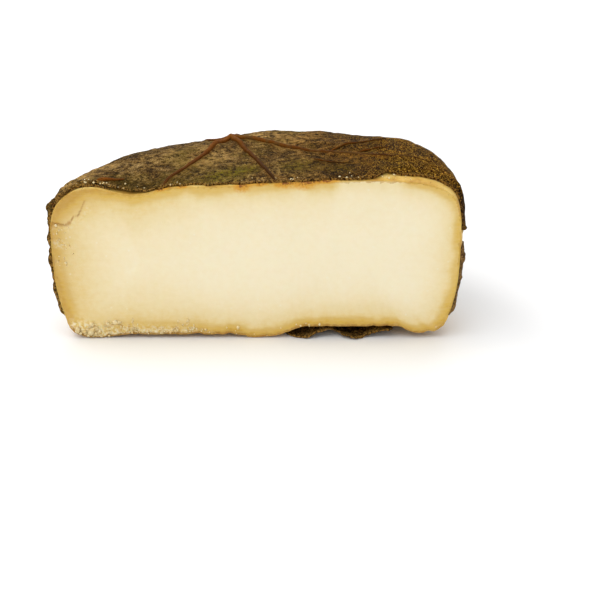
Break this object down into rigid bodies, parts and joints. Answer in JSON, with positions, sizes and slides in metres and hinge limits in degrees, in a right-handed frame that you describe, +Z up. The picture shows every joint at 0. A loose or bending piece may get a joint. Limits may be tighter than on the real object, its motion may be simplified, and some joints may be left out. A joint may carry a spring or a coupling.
{
  "type": "leaf-wrapped pecorino half wheel",
  "caption": "Half a small round pecorino cheese wrapped in dried brown leaves, cut straight down to show its pale cream paste, resting on its flat side.",
  "frame": {"origin": "on the table, under the middle of the half wheel, 40 mm behind the knife cut", "axes": "+Z up along the wheel's own axis, +X along the cut face to the right, -Y out of the cut face"},
  "size_m": [0.1839, 0.0908, 0.0795],
  "materials": {
    "paste": "smooth, slightly waxy cut cheese, cream in the middle and yellow towards the rind",
    "leaf": "dry, wrinkled, olive-brown leaf with red-brown raised veins"
  },
  "bodies": {
    "root": {"cheese": "paste", "leaf_top": "leaf", "leaf_left": "leaf", "leaf_right": "leaf", "leaf_back": "leaf", "leaf_under": "leaf"}
  },
  "joints": []
}
